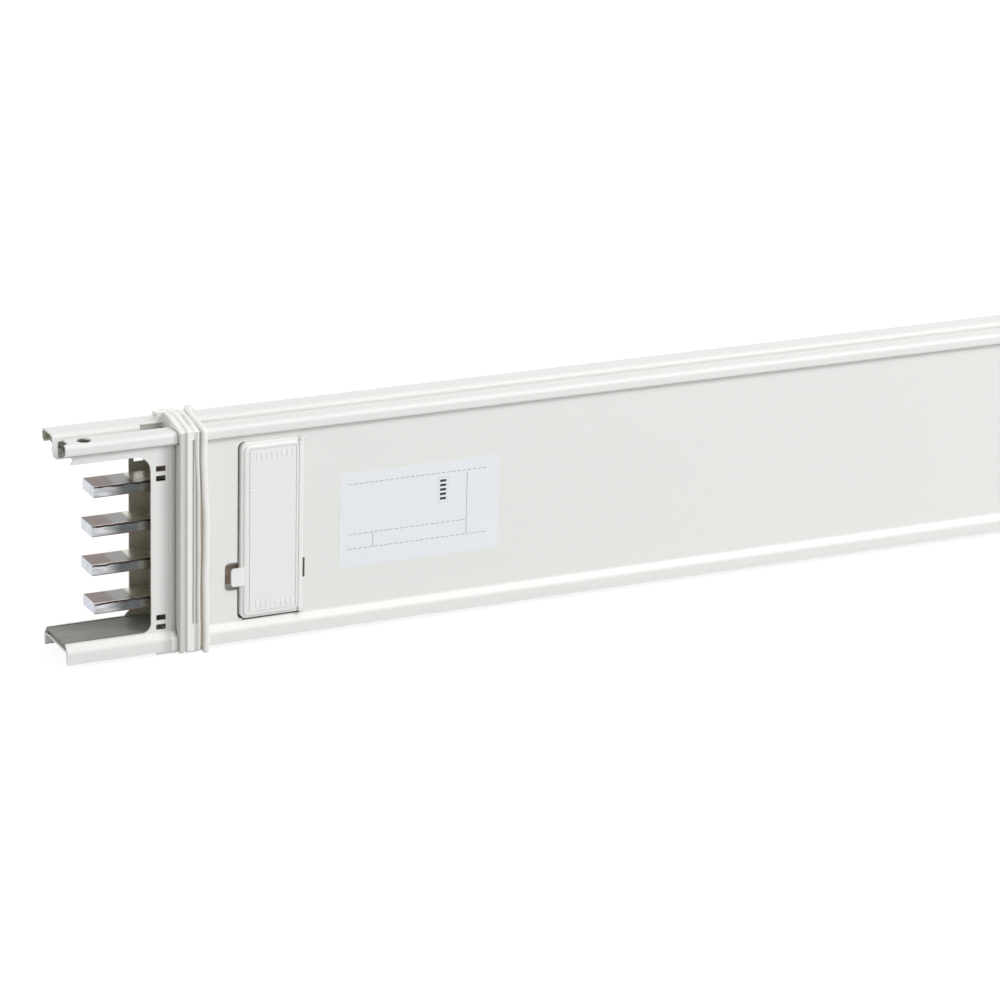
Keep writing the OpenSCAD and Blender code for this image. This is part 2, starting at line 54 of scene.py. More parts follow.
# The folded casing, in millimetres: sheet, top rail and side sheets.
SHEET = 1.2
HUMP_W, GROOVE_W, GROOVE_DEPTH, SKIRT_Z = 15.5, 8.5, 13.0, 137.5
WEB_INSET, SHOULDER_Z, SHOULDER_HALF, RAIL_BEND = 3.5, 10.0, 4.0, 3.0
REAR_HUMP_Y = HUMP_W + GROOVE_W
GROOVE_Z = CASING_H - GROOVE_DEPTH
MID_Y = CASING_D / 2

BARS, SUPPORTS, OUTLETS = range(1, 5), range(1, 9), range(1, 7)
OUTLETS_A_SIDE = 3


def at(x, y, z):
    """A place in millimetres from the joint end, the front hump's face and the casing's foot."""
    return ORIGIN + Vector((x, y, z)) * MM


def from_end(node, corner, axis):
    """The same measure of one corner of a CAD node's box, in millimetres."""
    return (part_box(node)[corner][axis] - ORIGIN[axis]) / MM


# ---- camera ----------------------------------------------------------------

LENS_MM = 147.672
SENSOR_MM = 36.0
AZIMUTH, ELEVATION, ROLL = -26.43, 18.74, 1.52
DISTANCE = 2.721
AIM = (311.9, 20, 65.2)   # the place that it looks at, in casing millimetres


def make_camera(target):
    a, e, r = (math.radians(v) for v in (AZIMUTH, ELEVATION, ROLL))
    back = Vector((math.sin(a) * math.cos(e), -math.cos(a) * math.cos(e), math.sin(e)))
    level = (-back).cross(Vector((0, 0, 1))).normalized()
    above = back.cross(level)
    right = level * math.cos(r) + above * math.sin(r)
    up = above * math.cos(r) - level * math.sin(r)
    data = bpy.data.cameras.new("camera")
    data.sensor_width = SENSOR_MM
    data.lens = LENS_MM
    data.clip_end = 50
    camera = bpy.data.objects.new("camera", data)
    turn = Matrix((right, up, back)).transposed().to_4x4()
    camera.matrix_world = Matrix.Translation(target + back * DISTANCE) @ turn
    bpy.context.collection.objects.link(camera)
    bpy.context.scene.camera = camera


make_camera(at(*AIM))

# ---- node graphs -------------------------------------------------------------


class Graph:
    """One material, with short calls for its nodes. Lengths are in metres in the row frame."""

    def __init__(self, name, color=(0.8, 0.8, 0.8), roughness=0.5, metallic=0.0):
        self.material = bpy.data.materials.new(name)
        self.material.use_nodes = True
        self.tree = self.material.node_tree
        self.shader = self.tree.nodes["Principled BSDF"]
        self.shader.inputs["Base Color"].default_value = (*color, 1)
        self.shader.inputs["Roughness"].default_value = roughness
        self.shader.inputs["Metallic"].default_value = metallic
        self.spot = self.tree.nodes.new("ShaderNodeTexCoord")

    def put(self, socket, value):
        if isinstance(value, bpy.types.NodeSocket):
            self.tree.links.new(value, socket)
        elif isinstance(value, tuple) and len(value) == 3 and socket.type == "RGBA":
            socket.default_value = (*value, 1)
        else:
            socket.default_value = value

    def math(self, operation, *values):
        node = self.tree.nodes.new("ShaderNodeMath")
        node.operation = operation
        for socket, value in zip(node.inputs, values):
            self.put(socket, value)
        return node.outputs[0]

    def axes(self, output):
        """X, Y and Z of a place (Object) or of a facing direction (Normal)."""
        node = self.tree.nodes.new("ShaderNodeSeparateXYZ")
        self.put(node.inputs[0], self.spot.outputs[output])
        return list(node.outputs)

    def apart(self, a, b):
        """How far two values lie apart, either way."""
        return self.math("ABSOLUTE", self.math("SUBTRACT", a, b))

    def outside(self, mask):
        return self.math("SUBTRACT", 1.0, mask)

    def both(self, *masks):
        result = masks[0]
        for mask in masks[1:]:
            result = self.math("MULTIPLY", result, mask)
        return result

    def either(self, *masks):
        result = masks[0]
        for mask in masks[1:]:
            result = self.math("MAXIMUM", result, mask)
        return result

    def between(self, value, low, high):
        return self.both(self.math("GREATER_THAN", value, low), self.math("LESS_THAN", value, high))

    def ramp(self, value, low, high, start=0.0, end=1.0):
        """Smooth change from start at low to end at high."""
        node = self.tree.nodes.new("ShaderNodeMapRange")
        node.interpolation_type = "SMOOTHSTEP"
        for socket, v in zip(node.inputs, (value, low, high, start, end)):
            self.put(socket, v)
        return node.outputs[0]

    def ramp_mm(self, value, zone, start=0.0, end=1.0):
        """The same over a zone (low, high) in millimetres."""
        return self.ramp(value, zone[0] * MM, zone[1] * MM, start, end)

    def mix(self, factor, a, b):
        node = self.tree.nodes.new("ShaderNodeMix")
        node.data_type = "RGBA"
        self.put(node.inputs[0], factor)
        self.put(node.inputs[6], a)
        self.put(node.inputs[7], b)
        return node.outputs[2]

    def noise(self, scale, detail=2.0, stretch=(1, 1, 1), shift=(0, 0, 0)):
        place = self.tree.nodes.new("ShaderNodeMapping")
        place.inputs["Scale"].default_value = stretch
        place.inputs["Location"].default_value = shift
        self.put(place.inputs[0], self.spot.outputs["Object"])
        node = self.tree.nodes.new("ShaderNodeTexNoise")
        node.inputs["Scale"].default_value = scale
        node.inputs["Detail"].default_value = detail
        self.put(node.inputs["Vector"], place.outputs[0])
        return node.outputs["Fac"]

    def uneven(self, scale, detail, low, high):
        """A value that wanders between low and high."""
        return self.ramp(self.noise(scale, detail), 0.3, 0.7, low, high)

    def color(self, value):
        self.put(self.shader.inputs["Base Color"], value)

    def roughness(self, value):
        self.put(self.shader.inputs["Roughness"], value)

    def bump(self, *layers):
        """Layers of (height, depth in metres), one over the other."""
        normal = None
        for height, depth in layers:
            node = self.tree.nodes.new("ShaderNodeBump")
            node.inputs["Distance"].default_value = depth
            self.put(node.inputs["Height"], height)
            if normal:
                self.put(node.inputs["Normal"], normal)
            normal = node.outputs[0]
        self.put(self.shader.inputs["Normal"], normal)


# ---- light and floor ---------------------------------------------------------

SKY = 0.55           # what the sky gives to matt surfaces
FLOOR_BOUNCE = 0.57  # how pale the floor is to them
FLOOR_GLOW = 0.88    # what the seen floor still shows in a full shadow
FLOOR_LIT = 0.22     # what the lamps and the sky add to that
FLOOR_HALF = 6.0     # half the floor's width


def seen_ray(tree):
    """1 for rays from the camera and from reflections, 0 for the light on matt surfaces."""
    path = tree.nodes.new("ShaderNodeLightPath")
    total = path.outputs["Is Camera Ray"]
    for name in ("Is Glossy Ray", "Is Transmission Ray"):
        node = tree.nodes.new("ShaderNodeMath")
        node.operation = "MAXIMUM"
        tree.links.new(total, node.inputs[0])
        tree.links.new(path.outputs[name], node.inputs[1])
        total = node.outputs[0]
    return total


def make_world():
    world = bpy.data.worlds.new("world")
    bpy.context.scene.world = world
    world.use_nodes = True
    tree = world.node_tree
    light = tree.nodes["Background"]
    light.inputs["Color"].default_value = (0.985, 0.995, 1.0, 1)
    light.inputs["Strength"].default_value = SKY
    seen = tree.nodes.new("ShaderNodeBackground")
    seen.inputs["Color"].default_value = (1, 1, 1, 1)
    mix = tree.nodes.new("ShaderNodeMixShader")
    tree.links.new(seen_ray(tree), mix.inputs[0])
    tree.links.new(light.outputs[0], mix.inputs[1])
    tree.links.new(seen.outputs[0], mix.inputs[2])
    tree.links.new(mix.outputs[0], tree.nodes["World Output"].inputs["Surface"])


def floor_material():
    material = bpy.data.materials.new("floor")
    material.use_nodes = True
    tree = material.node_tree
    tree.nodes.remove(tree.nodes["Principled BSDF"])
    bounce = tree.nodes.new("ShaderNodeBsdfDiffuse")
    bounce.inputs["Color"].default_value = (FLOOR_BOUNCE, FLOOR_BOUNCE, FLOOR_BOUNCE, 1)
    lit = tree.nodes.new("ShaderNodeBsdfDiffuse")
    lit.inputs["Color"].default_value = (FLOOR_LIT, FLOOR_LIT, FLOOR_LIT, 1)
    glow = tree.nodes.new("ShaderNodeEmission")
    glow.inputs["Color"].default_value = (1, 1, 1, 1)
    glow.inputs["Strength"].default_value = FLOOR_GLOW
    shown = tree.nodes.new("ShaderNodeAddShader")
    tree.links.new(lit.outputs[0], shown.inputs[0])
    tree.links.new(glow.outputs[0], shown.inputs[1])
    mix = tree.nodes.new("ShaderNodeMixShader")
    tree.links.new(seen_ray(tree), mix.inputs[0])
    tree.links.new(bounce.outputs[0], mix.inputs[1])
    tree.links.new(shown.outputs[0], mix.inputs[2])
    tree.links.new(mix.outputs[0], tree.nodes["Material Output"].inputs["Surface"])
    return material


def make_floor():
    mesh = bpy.data.meshes.new("floor")
    corners = [(x * FLOOR_HALF, y * FLOOR_HALF, 0) for x, y in ((-1, -1), (1, -1), (1, 1), (-1, 1))]
    mesh.from_pydata(corners, [], [(0, 1, 2, 3)])
    mesh.materials.append(floor_material())
    floor = bpy.data.objects.new("floor", mesh)
    bpy.context.collection.objects.link(floor)


def make_light(name, place, size, power, aim):
    data = bpy.data.lights.new(name, "AREA")
    data.size = size
    data.energy = power
    lamp = bpy.data.objects.new(name, data)
    lamp.location = place
    lamp.rotation_euler = (Vector(aim) - Vector(place)).to_track_quat("-Z", "Y").to_euler()
    bpy.context.collection.objects.link(lamp)


make_world()
make_floor()
make_light("key", (0.9, -2.6, 2.9), 2.0, 109, at(500, 0, 70))
make_light("fill", (-3.5, -2.9, 3.3), 2.0, 18, at(100, 0, 70))
make_light("rear", (-2.4, 3.2, 0.5), 1.0, 34, at(900, 40, 70))

# ---- materials of the sheet metal ----------------------------------------------

PAINT = (0.842, 0.850, 0.822)
PAINT_DRIFT = (0.820, 0.828, 0.802)
BARE_OLIVE = ((0.46, 0.45, 0.355), (0.54, 0.53, 0.43))
BARE_GREY = ((0.13, 0.13, 0.135), (0.46, 0.455, 0.43))
PAINTED_STEP_SHADE = (0.12, 0.12, 0.11)
# Where the painted shade on the side plates begins, where it is darkest and where the plates step
# in.
STEP_NEAR, STEP_DARKEST, STEP_X = 61.0, 70.5, 70.7


def olive(g):
    return g.mix(g.noise(350, 5), *BARE_OLIVE)


def rail_coats(g):
    """Mottled grey inside the front hump, olive inside the rear one."""
    grey = g.mix(g.ramp(g.noise(420, 5), 0.35, 0.68), *BARE_GREY)
    front = g.math("LESS_THAN", g.axes("Object")[1], at(0, HUMP_W + 2, 0)[1])
    return g.mix(front, olive(g), grey)


def painted(name, inner=None, coat=olive, step_shade=True):
    """Pale powder coat; unless turned off, a painted shade darkens it towards the step beside the
    collar.

    inner(graph) masks the faces that are bare inside the sheet, and coat(graph) gives their colour.
    """
    g = Graph(name)
    color = g.mix(g.noise(4, 2), PAINT, PAINT_DRIFT)
    if step_shade:
        # Painted shade: the sheet darkens towards the step beside the collar, where the collar
        # shades it.
        x = g.axes("Object")[0]
        dark = g.both(g.ramp(x, at(STEP_NEAR, 0, 0)[0], at(STEP_DARKEST, 0, 0)[0], 0.0, 0.34),
                      g.math("LESS_THAN", x, at(STEP_X, 0, 0)[0]))
        color = g.mix(dark, color, PAINTED_STEP_SHADE)
    rough = g.uneven(500, 3, 0.36, 0.46)
    if inner:
        mask = inner(g)
        color = g.mix(mask, color, coat(g))
        rough = g.mix(mask, rough, (0.5, 0.5, 0.5))
    g.shader.inputs["Specular IOR Level"].default_value = 0.35
    g.color(color)
    g.roughness(rough)
    g.bump((g.noise(1400, 2), 6e-6), (g.noise(40, 1), 3e-5))
    return g.material


def facing_in(sign):
    """Mask of the side sheets' inner faces."""
    def mask(g):
        return g.math("GREATER_THAN", g.math("MULTIPLY", g.axes("Normal")[1], sign), 0.3)
    return mask


SKIRT_LIP = 4.0   # width of a skirt's turned-in foot
BEND_CUT = 2.6    # how far from a hump's outer edge its bends reach


def inside_top_rail(g):
    """Mask of the top rail's inner faces: behind its skirts, in its humps and under its groove."""
    _, y, z = g.axes("Object")
    half = SHEET / 2

    def hump(left, right, skirt_y):
        """Inside one hump, without its bends and the turned-in foot of its skirt."""
        near = g.math("SUBTRACT", y, at(0, left, 0)[1])
        far = g.math("SUBTRACT", at(0, right, 0)[1], y)
        side = g.math("MINIMUM", near, far)
        below = g.math("SUBTRACT", at(0, 0, CASING_H)[2], z)
        past_bends = g.math("GREATER_THAN", g.math("ADD", side, below), BEND_CUT * MM)
        foot = g.both(g.math("LESS_THAN", z, at(0, 0, SKIRT_Z + half)[2]),
                      g.math("LESS_THAN", g.apart(y, at(0, skirt_y, 0)[1]), SKIRT_LIP * MM))
        inner = g.both(g.math("GREATER_THAN", side, half * MM),
                       g.math("GREATER_THAN", below, half * MM))
        return g.both(inner, past_bends, g.outside(foot))

    under_groove = g.both(g.between(y, at(0, HUMP_W - half, 0)[1], at(0, REAR_HUMP_Y + half, 0)[1]),
                          g.math("LESS_THAN", z, at(0, 0, GROOVE_Z - half)[2]))
    inside = g.either(hump(0, HUMP_W, 0), hump(REAR_HUMP_Y, CASING_D, CASING_D), under_groove)
    square_cut = g.math("GREATER_THAN", g.math("ABSOLUTE", g.axes("Normal")[0]), 0.5)
    return g.both(inside, g.outside(square_cut))


def dress(material, *names):
    for name in names:
        for slot in NODES[name].material_slots:
            slot.material = material
        if not NODES[name].material_slots:
            NODES[name].data.materials.append(material)


dress(painted("paint_front", facing_in(1)), "casing_front", "end_front_plate")
dress(painted("paint_rear", facing_in(-1)), "casing_rear", "end_rear_plate")
dress(painted("paint_top", inside_top_rail, rail_coats, step_shade=False),
      "casing_top", "end_top_rail")
dress(painted("paint_bottom"), "casing_bottom", "end_bottom_rail")


TRAY_REAR_SHADE = (7.0, 5.0)   # distances from the rear between which the tray darkens into its fold


def tray_steel():
    """Grey-green plated sheet: faint rolling marks, a few specks, and painted shade in the fold
    along its rear.
    """
    g = Graph("plated_sheet")
    cloud = g.noise(30, 4, (0.4, 1, 1))
    speck = g.ramp(g.noise(420, 2), 0.70, 0.76)
    color = g.mix(cloud, (0.185, 0.192, 0.162), (0.238, 0.247, 0.211))
    # Painted shade where the tray runs into its fold under the rear plate.
    shade_from, shade_to = (at(0, CASING_D - distance, 0)[1] for distance in TRAY_REAR_SHADE)
    rear_shade = g.ramp(g.axes("Object")[1], shade_from, shade_to, 0.0, 0.85)
    color = g.mix(rear_shade, color, (0.045, 0.045, 0.04))
    g.color(g.mix(speck, color, (0.10, 0.10, 0.085)))
    g.roughness(g.ramp(g.noise(200, 3, (0.15, 1, 1)), 0.2, 0.8, 0.42, 0.58))
    g.bump((g.noise(600, 2, (0.1, 1, 1)), 8e-6))
    return g.material


dress(tray_steel(), "end_tray")

# ---- materials of the bars -------------------------------------------------------

# Zones along a bar, in millimetres from its tip, some of them for the painted shade and reflection
# inside the casing.
COPPER_TO_PLATED, PLATED_TO_DULL, DULL_TO_PAINTED_REFLECTION = (13.5, 16.5), (12, 18), (26, 28.5)
SAWN_TO_SHADE, SHADE_TO_REFLECTION, TOP_LINE_FADE, WEAR_FADE = (6, 21), (29, 36), (0, 4), (16, 34)
# A ring that a press left on the broad sides, and the lines along a bar's edges.
PRESS_X, PRESS_RING = 43, (5.2, 6.0)
TOP_LINE, FOOT_LINE, WORN_EDGE = (0.15, 1.5), 0.6, 0.75
WAVE = 2.6


def bar_metal(name):
    """Sawn bar: plated faces, copper near the tip of its broad sides, and worn bright edges."""
    low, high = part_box(name)
    g = Graph(name + "_metal", metallic=1.0)
    x, y, z = g.axes("Object")
    nx, _, nz = g.axes("Normal")
    tip = g.math("MINIMUM", g.math("SUBTRACT", x, low[0]), g.math("SUBTRACT", high[0], x))
    edge = g.math("MINIMUM", g.math("SUBTRACT", y, low[1]), g.math("SUBTRACT", high[1], y))
    wave = g.math("MULTIPLY", g.math("SUBTRACT", g.noise(150, 3, (1, 0.2, 0.2)), 0.5), WAVE * MM)
    below_top = g.math("ADD", g.math("SUBTRACT", high[2], z), wave)

    fine = g.noise(900, 3, (0.15, 1, 1))
    copper = g.mix(fine, (0.185, 0.148, 0.140), (0.225, 0.178, 0.165))
    plated = g.mix(fine, (0.215, 0.215, 0.210), (0.260, 0.260, 0.255))
    broad = g.mix(g.ramp_mm(tip, COPPER_TO_PLATED), copper, plated)
    broad = g.mix(g.ramp_mm(tip, PLATED_TO_DULL), broad, (0.275, 0.275, 0.272))
    # Painted reflection: deeper in, the broad sides turn pale olive for the casing's inside that
    # they reflect.
    broad = g.mix(g.ramp_mm(tip, DULL_TO_PAINTED_REFLECTION), broad, (0.72, 0.70, 0.61))
    along = g.math("SUBTRACT", tip, PRESS_X * MM)
    across = g.math("SUBTRACT", y, (low[1] + high[1]) / 2)
    square = g.math("ADD", g.math("MULTIPLY", along, along), g.math("MULTIPLY", across, across))
    ring = g.between(g.math("SQRT", square), PRESS_RING[0] * MM, PRESS_RING[1] * MM)
    broad = g.mix(g.math("MULTIPLY", ring, 0.5), broad, (0.07, 0.065, 0.06))
    worn = g.both(g.math("LESS_THAN", edge, WORN_EDGE * MM), g.ramp_mm(tip, WEAR_FADE, 1.0, 0.25))
    broad = g.mix(worn, broad, (0.86, 0.66, 0.57))

    streak = g.noise(300, 4, (0.3, 1, 1.5))
    sawn = g.mix(g.ramp(streak, 0.35, 0.65), (0.42, 0.435, 0.46), (0.68, 0.69, 0.70))
    dark = g.mix(streak, (0.07, 0.078, 0.082), (0.17, 0.18, 0.185))
    # Painted shade, then painted reflection: the sawn sides darken into the casing and warm again
    # deep inside.
    sawn = g.mix(g.ramp_mm(tip, SAWN_TO_SHADE), sawn, dark)
    sawn = g.mix(g.ramp_mm(tip, SHADE_TO_REFLECTION), sawn, (0.30, 0.29, 0.25))
    top_line = g.both(g.between(below_top, TOP_LINE[0] * MM, TOP_LINE[1] * MM),
                      g.ramp_mm(tip, TOP_LINE_FADE, 0.75, 1.0))
    sawn = g.mix(top_line, sawn, (0.055, 0.045, 0.045))
    foot_line = g.math("LESS_THAN", g.math("SUBTRACT", z, low[2]), FOOT_LINE * MM)
    sawn = g.mix(g.math("MULTIPLY", foot_line, 0.8), sawn, (0.17, 0.09, 0.07))

    blade = g.noise(700, 2, (1, 1, 0.06))
    end = g.mix(g.ramp(blade, 0.3, 0.7), (0.56, 0.58, 0.63), (0.68, 0.70, 0.75))

    is_broad = g.math("GREATER_THAN", g.math("ABSOLUTE", nz), 0.5)
    is_end = g.math("GREATER_THAN", g.math("ABSOLUTE", nx), 0.5)
    g.color(g.mix(is_end, g.mix(is_broad, sawn, broad), end))
    g.roughness(g.mix(is_broad, (0.42, 0.42, 0.42), g.ramp(fine, 0.3, 0.7, 0.24, 0.34)))
    g.bump((streak, 4e-5), (blade, 2e-5))
    return g.material


for i in BARS:
    dress(bar_metal(f"bar_{i}"), f"bar_{i}")

# ---- materials of the plastic parts ------------------------------------------------


def moulded(name, base, drift, rough=(0.38, 0.50), grain=1e-5):
    """Moulded plastic with a fine eroded grain."""
    g = Graph(name)
    g.color(g.mix(g.noise(35, 3), base, drift))
    g.roughness(g.uneven(600, 3, *rough))
    g.bump((g.noise(1600, 3), grain))
    return g.material


dress(moulded("support_moulding", (0.185, 0.135, 0.118), (0.225, 0.165, 0.142), (0.5, 0.62)),
      *[f"support_{i}" for i in SUPPORTS])
COVER_PALE = (0.885, 0.890, 0.870)
dress(moulded("cover_moulding", COVER_PALE, (0.866, 0.871, 0.848), (0.34, 0.44)),
      *[f"outlet_cover_{i}" for i in OUTLETS])

# Heights of a cover's foot and of the middle of its pull tab.
TAB_DROP = 30.3
COVER_FOOT = from_end("outlet_cover_1", 0, 2)
TAB_Z = (COVER_FOOT + from_end("outlet_cover_1", 1, 2)) / 2 - TAB_DROP
# Half the height of the finger recess's floor, brown as painted shade, and how deep that floor
# lies.
RECESS_HALF, RECESS_Y = 6.4, 7.2
# The painted shadow line across a socket's foot, from under the cover's foot to over it.
FOOT_SHADOW = (-1.2, 0.3)


def socket_moulding():
    """Socket bodies: pale, with painted shade in the finger recess and a painted shadow along the
    foot.
    """
    g = Graph("socket_moulding")
    y, height = g.axes("Object")[1:]
    off_centre = g.apart(y, at(0, MID_Y, 0)[1])
    in_front = g.math("GREATER_THAN", off_centre, (MID_Y - WEB_INSET - SHEET) * MM)
    wall = g.math("LESS_THAN", g.math("ABSOLUTE", g.axes("Normal")[1]), 0.5)
    recess = g.both(g.math("LESS_THAN", g.apart(height, at(0, 0, TAB_Z)[2]), RECESS_HALF * MM),
                    g.math("LESS_THAN", off_centre, (MID_Y - RECESS_Y) * MM))
    # Painted shade: brown on the recess floor and tan on the side walls.
    recess_shade = g.mix(g.noise(90, 3), (0.30, 0.24, 0.19), (0.37, 0.30, 0.24))
    floor = g.mix(recess, (0.66, 0.655, 0.60), recess_shade)
    color = g.mix(wall, floor, (0.60, 0.585, 0.52))
    # Painted shadow: a dark line across the foot, at the cover's foot.
    foot = g.between(height, *(at(0, 0, COVER_FOOT + rise)[2] for rise in FOOT_SHADOW))
    color = g.mix(in_front, color, COVER_PALE)
    g.color(g.mix(foot, color, (0.07, 0.07, 0.06)))
    g.roughness(g.uneven(600, 3, 0.42, 0.55))
    g.bump((g.noise(1600, 3), 1e-5))
    return g.material


dress(socket_moulding(), *[f"outlet_base_{i}" for i in OUTLETS])
IVORY = moulded("collar_moulding", (0.930, 0.928, 0.900), (0.905, 0.902, 0.872))
# Painted shade: grey copies of the ivory for the collar's lip, end and thin ridge, darker in its
# creases.
IVORY_PAINTED_SHADE = moulded("collar_painted_shade", (0.690, 0.690, 0.655), (0.655, 0.652, 0.615))
IVORY_CREASE_SHADE = moulded("collar_crease_shade", (0.560, 0.558, 0.525), (0.530, 0.525, 0.490))
# Tan seal foam; its tone also paints the shade in the collar's slits and groove.
SHADED_FOAM = moulded("shaded_seal_foam", (0.54, 0.475, 0.385), (0.61, 0.545, 0.455), (0.7, 0.85), 3e-5)
dress(IVORY, "seal_collar")
RUBBER = moulded("bead_rubber", (0.930, 0.918, 0.885), (0.905, 0.890, 0.850), (0.55, 0.68), 2e-5)
dress(RUBBER, "collar_bead")

# ---- new pieces ------------------------------------------------------------------


def add_piece(bm, name, body, materials, smooth=True):
    """Turns a finished bmesh into a piece that rides on a body."""
    bmesh.ops.recalc_face_normals(bm, faces=bm.faces)
    mesh = bpy.data.meshes.new(name)
    bm.to_mesh(mesh)
    bm.free()
    for polygon in mesh.polygons:
        polygon.use_smooth = smooth
    for material in materials:
        mesh.materials.append(material)
    piece = bpy.data.objects.new(name, mesh)
    bpy.context.collection.objects.link(piece)
    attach(piece, body)
    return piece


def smooth_step(value):
    t = min(max(value, 0.0), 1.0)
    return t * t * (3 - 2 * t)


def blend_between(value, low, high):
    return smooth_step((value - low) / (high - low))


def side_inset(z):
    """How far the casing's side lies behind its hump's face at a height."""
    if z >= SKIRT_Z:
        return 0.0
    return WEB_INSET * blend_between(z, SHOULDER_Z - SHOULDER_HALF, SHOULDER_Z + SHOULDER_HALF)


class Ring:
    """Closed band round the casing.

    Its outline's corners (y, z, radius) run up the front and down the rear. marks are (axis, place)
    pairs, axis 0 for Y and 1 for Z, at which the band's shape changes.
    """

    ARC = 6      # faces in a corner
    STEP = 6.0   # longest face between corners, about
    MARK = 0.15  # half the width of the face in which the shape changes

    def __init__(self, corners, marks=()):
        self.corners = corners
        outer = self.bends(0)
        self.fractions = []
        for i, arc in enumerate(outer):
            a, b = arc[-1], outer[(i + 1) % len(outer)][0]
            span = math.dist(a, b)
            count = max(1, round(span / self.STEP))
            cuts = {k / count for k in range(1, count)}
            axis = 0 if abs(b[0] - a[0]) > abs(b[1] - a[1]) else 1
            for mark_axis, mark in marks:
                if mark_axis == axis and min(a[axis], b[axis]) < mark < max(a[axis], b[axis]):
                    t = (mark - a[axis]) / (b[axis] - a[axis])
                    cuts |= {t - self.MARK / span, t + self.MARK / span}
            self.fractions.append(sorted(cuts))

    def bends(self, depth):
        """Each corner's arc, moved inward by a depth."""
        n = len(self.corners)
        arcs = []
        for i, (y, z, radius) in enumerate(self.corners):
            p = Vector((y, z))
            u = (Vector(self.corners[i - 1][:2]) - p).normalized()
            v = (Vector(self.corners[(i + 1) % n][:2]) - p).normalized()
            half = u.angle(v) / 2
            inward = (u + v).normalized()
            r = max(radius - depth, 0.2)
            corner = p + inward * (depth / math.sin(half))
            centre = p + inward * ((depth + r) / math.sin(half))
            start = corner + u * (r / math.tan(half)) - centre
            end = corner + v * (r / math.tan(half)) - centre
            turn = start.angle_signed(end)
            arcs.append([tuple(centre + Matrix.Rotation(-turn * k / self.ARC, 2) @ start)
                         for k in range(self.ARC + 1)])
        return arcs

    def at_depth(self, depth):
        """Places (y, z) all the way round, the same number at every depth."""
        arcs = self.bends(depth)
        places = []
        for i, arc in enumerate(arcs):
            a, b = arc[-1], arcs[(i + 1) % len(arcs)][0]
            places += arc
            places += [(a[0] + (b[0] - a[0]) * t, a[1] + (b[1] - a[1]) * t)
                       for t in self.fractions[i]]
        return places


RIDGE_NEAR, RIDGE_FAR, RIDGE_BEND = HUMP_W + 3.5, REAR_HUMP_Y + 2, 9
FOOT_BEND = 2


def roof_corners(proud, foot, eave, ridge, bend):
    """Outline of a band: upright sides, and a top that rises from its eaves to its ridge."""
    return [(-proud, -foot, FOOT_BEND), (-proud, eave, bend),
            (RIDGE_NEAR, ridge, RIDGE_BEND), (RIDGE_FAR, ridge, RIDGE_BEND),
            (CASING_D + proud, eave, bend), (CASING_D + proud, -foot, FOOT_BEND)]


def casing_seat(ring, gap=0.1):
    """Where a band meets the casing, place by place as the ring runs."""
    seat = Ring(roof_corners(gap, gap, CASING_H + gap, CASING_H + gap + 0.2, RAIL_BEND + gap))
    seat.fractions = ring.fractions
    places = []
    for y, z in seat.at_depth(0):
        on_side = 0.5 < z < SKIRT_Z and (y < 1 or y > CASING_D - 1)
        inset = side_inset(z) if on_side else 0.0
        places.append((y + inset if y < MID_Y else y - inset, z))
    return places


def add_band(bm, ring, stations, depth_at, shift_at, tone_at=None):
    """Faces of a band, closed against the casing.

    stations are its places along the section. At station k and a place (y, z) of the outline,
    depth_at says how deep the band lies, shift_at how far it strays and tone_at its material.
    """
    outline = ring.at_depth(0)
    seat = casing_seat(ring)
    cache = {}
    rows = []
    for k, x in enumerate(stations):
        row = []
        for i, (y, z) in enumerate(outline):
            depth = round(depth_at(k, y, z), 3)
            if depth not in cache:
                cache[depth] = ring.at_depth(depth)
            row.append(bm.verts.new(at(x + shift_at(k, y, z), *cache[depth][i])))
        rows.append(row)
    count, last = len(outline), len(stations) - 1
    ends = [[bm.verts.new(at(stations[k] + shift_at(k, *outline[i]), *seat[i]))
             for i in range(count)] for k in (0, last)]
    rows = [ends[0]] + rows + [ends[1]]
    for k, a in enumerate(rows):
        b = rows[(k + 1) % len(rows)]
        for i in range(count):
            m = (i + 1) % count
            face = bm.faces.new((a[i], a[m], b[m], b[i]))
            if tone_at:
                face.material_index = tone_at(min(max(k - 1, 0), last - 1), *outline[i])


def add_block(bm, low, high, bevel, tone=0):
    """Box between two places, its edges rounded; tone is the number of its material."""
    before = len(bm.faces)
    made = bmesh.ops.create_cube(bm, size=1)["verts"]
    size = [(b - a) * MM for a, b in zip(low, high)]
    bmesh.ops.scale(bm, vec=size, verts=made)
    bmesh.ops.translate(bm, vec=at(*[(a + b) / 2 for a, b in zip(low, high)]), verts=made)
    edges = list({e for v in made for e in v.link_edges})
    bmesh.ops.bevel(bm, geom=edges, offset=bevel * MM, segments=3, affect="EDGES", profile=0.5)
    for face in list(bm.faces)[before:]:
        face.material_index = tone


COLLAR_X = 75.0
SLIT_LOW, SLIT_HIGH = 17.0, 141.0
RECESS_NEAR, RECESS_FAR = 4.0, 19.5
# Tones 1 and 2 are painted shade, the second for creases; the seal's tan also paints shade.
WHITE, SHADE, CREASE_SHADE, SHADED_SEAL = range(4)       # tones of the collar, in the order of its materials
